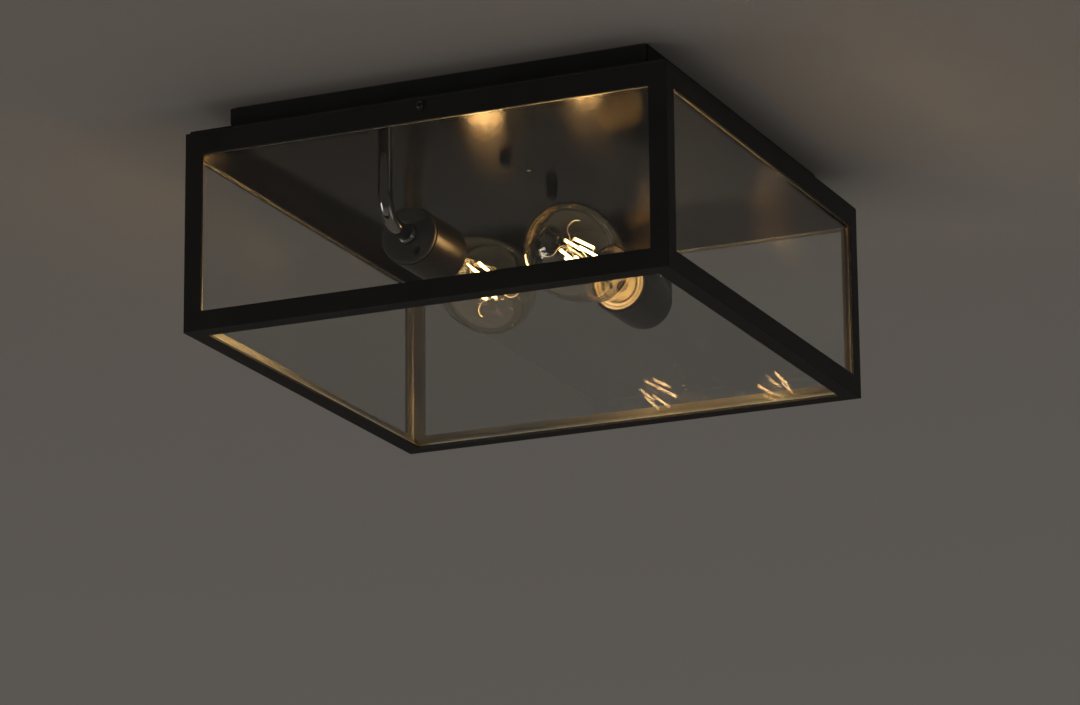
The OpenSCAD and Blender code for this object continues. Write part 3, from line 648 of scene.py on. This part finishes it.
UNIT = "ceiling_unit"
refined("ceiling_box", "canopy_box", UNIT, "box_black", [box_black, arris], width=0.35, steps=3,
        angle=FLAT)
refined("ground_plate", "reflector_plate", UNIT, "plate_dark", [ground_plate, box_black],
        width=0.4, steps=3, grained=True, angle=FLAT)
refined("slotted_bar", "ceiling_bar", UNIT, "zinc_steel", zinc, width=0.2)
refined("wiring_block", "terminal_block", UNIT, "block_plastic", polyamide, width=0.5, steps=3)
refined("clamp_screws", "terminal_screws", UNIT, "zinc_steel", zinc, width=0.12)
refined("block_screw", "terminal_block_screw", UNIT, "zinc_steel", zinc, width=0.2)
refined("earth_stud_screw", "earth_screw", UNIT, "brass", brass, width=0.25)

M5_BORE = 2.52
studs, nuts = bmesh.new(), bmesh.new()
for y in (-STUD_Y, STUD_Y):
    rows = [(2.49, -0.5 - 0.2 * i, 1) for i in range(139)]
    stud = lathe([(0, -0.2), (2, -0.2)] + rows + [(2, -28.6), (0, -28.6)], steps=32,
                 thread=lambda z, a: -0.2 + 0.2 * math.cos(TURN * z / M5_PITCH + a))
    bmesh.ops.translate(stud, vec=(0, y, 0), verts=stud.verts)
    join(studs, stud)
    hex_nut(nuts, flats=8, height=4, bore=M5_BORE, place=(0, y, -5.6))
piece("threaded_studs", studs, UNIT, "zinc_steel", zinc, "mounting_studs", angle=60)
piece("lock_nuts", nuts, UNIT, "zinc_steel", zinc, "stud_lock_nuts")

nuts, collars = bmesh.new(), bmesh.new()
for side, s in zip(SIDES, (-1, 1)):
    for z in (-19.5, -24.2):
        hex_nut(nuts, flats=15, height=3.5, bore=5.02, place=(s * LAMP_X, s * ARM_Y, z))
    collar = lathe(rounded([(5.03, -3, 0.2), (6.5, -3, 0.9), (6.5, -0.02, 0.2), (5.03, -0.02)]))
    collar.transform(LAMP[side])
    join(collars, collar)
piece("tube_nuts", nuts, UNIT, "black_nickel", black_nickel, "arm_nuts")
piece("tube_collars", collars, UNIT, "black_nickel", black_nickel, "arm_collars")


def into_holder(end):
    """Centre line of the left arm round its bend, to a point this far past the holder's face."""
    x, y, z = -LAMP_X, -ARM_Y, LAMP_Z
    bend = arc((x, y + ARM_BEND, z + ARM_BEND), (x, y, z + ARM_BEND), (x, y + ARM_BEND, z), 24)
    return bend + [(x, end - HOLDER_Y, z)]


def over_plate(start=(-4, -10, -8.5), bend=6.5):
    """Centre line of the left lead, from the terminal block over the plate and into the arm."""
    x, y, high = -LAMP_X, -ARM_Y, start[2]
    turn_y = start[1] - bend
    across = arc((x + bend, turn_y, high), (x + bend, start[1], high), (x, turn_y, high))
    down = arc((x, y + bend, high - bend), (x, y + bend, high), (x, y, high - bend))
    return [start] + across + down


for side, place in zip(SIDES, (UNMOVED, HALF_TURN)):
    tube = sweep([(-LAMP_X, -ARM_Y, -14)] + into_holder(6), radius=5, steps=56, bore=4)
    piece("bent_tube_" + side, tube, UNIT, "black_nickel", black_nickel, "arm_" + side,
          place=place, angle=50)
    lead = sweep(over_plate() + into_holder(10), radius=1.9, steps=24)
    piece("sleeved_lead_" + side, lead, UNIT, "sleeve", sleeve, "lead_" + side, place=place,
          angle=50)


# ---------------------------------------------------------------- lampholders and bulbs

def knuckle(start, end, depth):
    """Rolled E27 thread: follows the helix between start and end and fades out at both."""
    def shift(z, a):
        fade = max(0, min(1, (z - start) / 1.5, (end - z) / 1.5))
        return -depth * fade * (0.5 - 0.5 * math.cos(TURN * (z - start) / E27_PITCH - a))
    return shift


def smooth_line(points, steps=6):
    """A smooth cubic curve through the points, steps to each stretch."""
    line = []
    for i in range(len(points) - 1):
        p0, p1 = Vector(points[max(i - 1, 0)]), Vector(points[i])
        p2, p3 = Vector(points[i + 1]), Vector(points[min(i + 2, len(points) - 1)])
        for k in range(steps):
            t = k / steps
            line.append(0.5 * ((2 * p1) + (p2 - p0) * t + (2 * p0 - 5 * p1 + 4 * p2 - p3) * t * t
                               + (3 * p1 - p0 - 3 * p2 + p3) * t ** 3))
    return [(max(0, p[0]), p[1]) for p in line + [Vector(points[-1])]]


def lampholder(side):
    """End cap, cup, porcelain body, rolled shell and contact tongue."""
    place = LAMP[side]
    refined("end_cap_" + side, "holder_end_" + side, UNIT, "holder_grey", matt_grey, width=0.3)
    cup = rounded([(19.85, 4.05, 0.4), (19.85, 49.9, 0.4), (18.85, 49.9, 0.4), (18.85, 4.05)])
    turned_piece("bronze_cup_" + side, cup, UNIT, "holder_bronze", bronze, "holder_cup_" + side,
                 place)
    body = rounded([(0, 10.05), (18.35, 10.05, 0.8), (18.35, 49.4, 0.9), (16.4, 49.4, 0.7),
                    (16.4, 44.5, 0.5), (15.1, 44.5, 0.5), (15.1, 48.9, 0.4), (14.1, 48.9, 0.4),
                    (14.1, 18), (0, 18)])
    turned_piece("glazed_body_" + side, body, UNIT, "porcelain", glaze, "porcelain_" + side, place)
    rows = [18 + 0.4 * i for i in range(1, 70)] + [46]
    shell = ([(7, 18.02), (13.95, 18.02)] + [(13.95, z, 1) for z in rows]
             + [(13.6, z, 1) for z in reversed(rows[1:])] + [(13.6, 18.45), (7, 18.45)])
    turned_piece("threaded_shell_" + side, shell, UNIT, "brass", brass, "screw_shell_" + side,
                 place, thread=knuckle(21, 45, depth=0.4), angle=50)
    refined("contact_tongue_" + side, "centre_contact_" + side, UNIT, "brass", brass, width=0.1)


def envelope(wall):
    """Half outline of the blown bulb, from its neck to its crown, drawn inwards by wall."""
    neck_r, belly_r = 12.8, 32
    neck_z, belly_z, crown = 50.6, 130, 37
    line = []
    for i in range(25):
        t = i / 24
        swell = (belly_r - neck_r) * math.sin(TURN / 4 * t ** 1.25)
        line.append((neck_r + swell - wall, neck_z + (belly_z - neck_z) * t))
    for i in range(1, 33):
        a = TURN / 4 * i / 32
        line.append(((belly_r - wall) * math.cos(a), belly_z + (crown - wall) * math.sin(a)))
    line[-1] = (0, line[-1][1])
    return line


def filament_sticks():
    """Six glowing sticks round the stem, leaning in from their foot to their top."""
    foot_r, top_r, rise, middle = 9.5, 7.2, 30, 118
    sticks = grown("sticks", BARS_ROUND, {
        "Count": 6, "Circle": (foot_r + top_r) / 2, "Bar Radius": 0.95, "Bar Length": 29.6,
        "Bar Sides": 16, "Lean": (top_r - foot_r) / rise, "Height": middle, "Finish": phosphor})
    return settle(sticks, [broken_edges(0.4)])


def bulb(side):
    """Solder drop, insulator, rolled cap, blown bulb, stem, basing cement and filament sticks."""
    place, body = LAMP[side], "bulb_" + side
    drop = [(0, 25.02), (1.6, 25.1), (3, 25.35), (4, 25.75), (4.6, 26.45), (0, 26.48)]
    turned_piece("solder_drop_" + side, drop, "bulb_thread_" + side, "solder", solder,
                 "bulb_tip_" + side, place)
    foot = rounded([(0, 26.52), (4.8, 26.52), (10.3, 30.1, 0.6), (10.35, 30.35), (12.6, 32.4),
                    (12.7, 33.5), (0, 33.5)])
    turned_piece("vitrite_foot_" + side, foot, body, "black_glass", foot_glass,
                 "bulb_insulator_" + side, place)
    rows = [32 + 0.3 * i for i in range(61)]
    cap = ([(10.6, 30.2), (10.9, 30), (12.6, 31.35)] + [(13.2, z, 1) for z in rows]
           + [(13.18, 50.3), (13.05, 50.48), (12.92, 50.45)]
           + [(12.9, z, 1) for z in reversed(rows[1:])] + [(12.75, 32.2)])
    turned_piece("rolled_cap_" + side, cap, body, "nickel_cap", nickel, "bulb_cap_" + side, place,
                 thread=knuckle(32.6, 44.2, depth=1.0), angle=60)
    blown = [(12.8, 44), *envelope(0), *reversed(envelope(0.8)), (12, 44)]
    turned_piece("blown_bulb_" + side, blown, body, "bulb_glass", blown_glass,
                 "bulb_glass_" + side, place, steps=128, angle=60)
    outer = smooth_line([(11.6, 45.6), (11.9, 46.4), (6.6, 53), (4.2, 62), (4.1, 76), (4, 90),
                         (3, 94), (0, 96)])
    inner = smooth_line([(0, 88), (2.2, 86), (2.7, 74), (2.8, 61), (5.3, 52), (10.4, 45.6)])
    turned_piece("pressed_stem_" + side, outer + inner, body, "stem_glass", stem_glass,
                 "bulb_stem_" + side, place, angle=60)
    fill = rounded([(10, 44.1), (11.7, 44.1), (11.85, 45.2), (4.5, 47.2, 1), (4.2, 45.5)])
    turned_piece("neck_cement_" + side, fill, body, "porcelain", cement, place=place)
    piece("filament_sticks_" + side, filament_sticks(), body, "filament", phosphor,
          "bulb_filaments_" + side, place=place)


for side in SIDES:
    lampholder(side)
    bulb(side)

DOME = 3.75
for end, s in zip(ENDS, (-1, 1)):
    turns = [TURN / 64 * k for k in range(17)]
    dome = [(DOME * math.sin(a), DOME - DOME * math.cos(a)) for a in turns]
    nut = lathe(dome + [(3.7, 4.9), (3.95, 5.2), (M5_BORE, 5.2), (M5_BORE, 1.9), (0, 1.9)])
    hex_nut(nut, flats=8, height=5, bore=M5_BORE, place=(0, 0, 5))
    piece("acorn_nut_" + end, nut, "nut_" + end, "nut_dark", dark_nickel, "cap_nut_" + end,
          place=Matrix.Translation((0, STUD_Y * s, -31.5)))
    refined("nut_washer_" + end, "cap_nut_washer_" + end, "nut_thread_" + end, "nut_dark",
            dark_nickel, width=0.15)

# CAD nodes that stay as they are take their finish here.
for node, finish in (("glazing_seals", silicone), ("porcelain_screws", zinc),
                     ("bulb_wires_left", wire), ("bulb_wires_right", wire)):
    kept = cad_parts[node]
    if not kept.material_slots:
        kept.data.materials.append(finish)
    for slot in kept.material_slots:
        slot.material = finish


# ---------------------------------------------------------------- stage, lights and camera
# From here on, places and sizes are in metres.

def seen_from_front(name, near, far, corners):
    """A backdrop seen and lit from its front only. From behind, and for bounced light, it isn't
    there. Its paint runs from near at y = -1 m to far at y = 2.5 m."""
    finish, tree, out = new_finish(name)
    where = add(tree, "ShaderNodeTexCoord").outputs["Object"]
    spot = add(tree, "ShaderNodeSeparateXYZ", {"Vector": where})
    share = add(tree, "ShaderNodeMapRange", {
        "Value": spot.outputs["Y"], "From Min": -1, "From Max": 2.5, "To Min": 0.35,
        "To Max": 0.65}).outputs["Result"]
    paint = add(tree, "ShaderNodeBsdfDiffuse", {"Color": tint(tree, share, near, far)})
    gone = add(tree, "ShaderNodeBsdfTransparent")
    ray = add(tree, "ShaderNodeLightPath").outputs
    behind = add(tree, "ShaderNodeNewGeometry").outputs["Backfacing"]

    def reckon(operation, first, second):
        return add(tree, "ShaderNodeMath", {0: first, 1: second},
                   operation=operation).outputs["Value"]

    direct = reckon("MAXIMUM", reckon("MAXIMUM", ray["Is Camera Ray"], ray["Is Glossy Ray"]),
                    ray["Is Transmission Ray"])
    shown = reckon("MULTIPLY", direct, reckon("SUBTRACT", 1.0, behind))
    mixed = add(tree, "ShaderNodeMixShader", {"Fac": shown})
    tree.links.new(gone.outputs["BSDF"], mixed.inputs[1])
    tree.links.new(paint.outputs["BSDF"], mixed.inputs[2])
    tree.links.new(mixed.outputs["Shader"], out.inputs["Surface"])
    mesh = bpy.data.meshes.new(name)
    mesh.from_pydata(corners, [], [range(len(corners))])
    mesh.materials.append(finish)
    made = bpy.data.objects.new(name, mesh)
    bpy.context.scene.collection.objects.link(made)


def level_square(half, z):
    """The corners of a level square that faces up."""
    return [(-half, -half, z), (half, -half, z), (half, half, z), (-half, half, z)]


# The ceiling's paint, darker near the camera and lighter far off, is painted shade for how the
# light falls across it.
seen_from_front("ceiling", "#67635f", "#7e7a76", level_square(half=14, z=0.001)[::-1])
seen_from_front("floor", "#c2bdb5", "#c2bdb5", level_square(half=4.5, z=-3))

# The room lights evenly; mirrors, glass and the camera see it in their own greys.
world = bpy.data.worlds.new("studio")
bpy.context.scene.world = world
world.use_nodes = True
tree = world.node_tree
tree.nodes.clear()
ray = add(tree, "ShaderNodeLightPath").outputs
room = add(tree, "ShaderNodeBackground", {"Color": linear("#f4f2ee"),
                                          "Strength": 0.5}).outputs["Background"]
for kind, colour in (("Is Glossy Ray", "#322e2a"), ("Is Transmission Ray", "#524f4a"),
                     ("Is Camera Ray", "#8f8a80")):
    shown = add(tree, "ShaderNodeBackground", {"Color": linear(colour), "Strength": 1})
    mixed = add(tree, "ShaderNodeMixShader", {"Fac": ray[kind]})
    tree.links.new(room, mixed.inputs[1])
    tree.links.new(shown.outputs["Background"], mixed.inputs[2])
    room = mixed.outputs["Shader"]
tree.links.new(room, add(tree, "ShaderNodeOutputWorld").inputs["Surface"])


def softbox(name, at, aim, size, watts):
    """A large soft lamp that points at a place."""
    lamp = bpy.data.lights.new(name, "AREA")
    lamp.shape = "RECTANGLE"
    lamp.size, lamp.size_y = size
    lamp.energy = watts
    lamp.color = linear("#fffaf2")[:3]
    made = bpy.data.objects.new(name, lamp)
    bpy.context.scene.collection.objects.link(made)
    made.location = at
    made.rotation_euler = (Vector(aim) - Vector(at)).to_track_quat("-Z", "Y").to_euler()


softbox("key", at=(-4.3, -3.4, -2.0), aim=(0, 0, -0.08), size=(2.4, 2.0), watts=98)
softbox("fill", at=(4.4, -0.6, -2.2), aim=(0, 0, -0.08), size=(2.4, 2.0), watts=26)
softbox("top", at=(-1.0, 1.5, 3.2), aim=(0, 0, -0.1), size=(2.4, 2.4), watts=40)

# The camera looks along -back, with the place and the turn that the cage's edges give.
camera = bpy.data.cameras.new("photo_view")
camera.sensor_width = 36
camera.lens = 160.3
camera.clip_start, camera.clip_end = 0.05, 60
viewer = bpy.data.objects.new("photo_view", camera)
bpy.context.scene.collection.objects.link(viewer)
eye = (1.28715, -2.88381, -1.05838)
right = Vector((0.91292052, 0.40804623, -0.00862589))
up = Vector((0.1202653, -0.24875261, 0.96107148))
back = Vector((0.39001588, -0.87841927, -0.27616516))
turned = Matrix((right, up, back)).transposed().to_4x4()
viewer.matrix_world = Matrix.Translation(eye) @ turned
bpy.context.scene.camera = viewer
bpy.context.scene.view_settings.view_transform = "Standard"
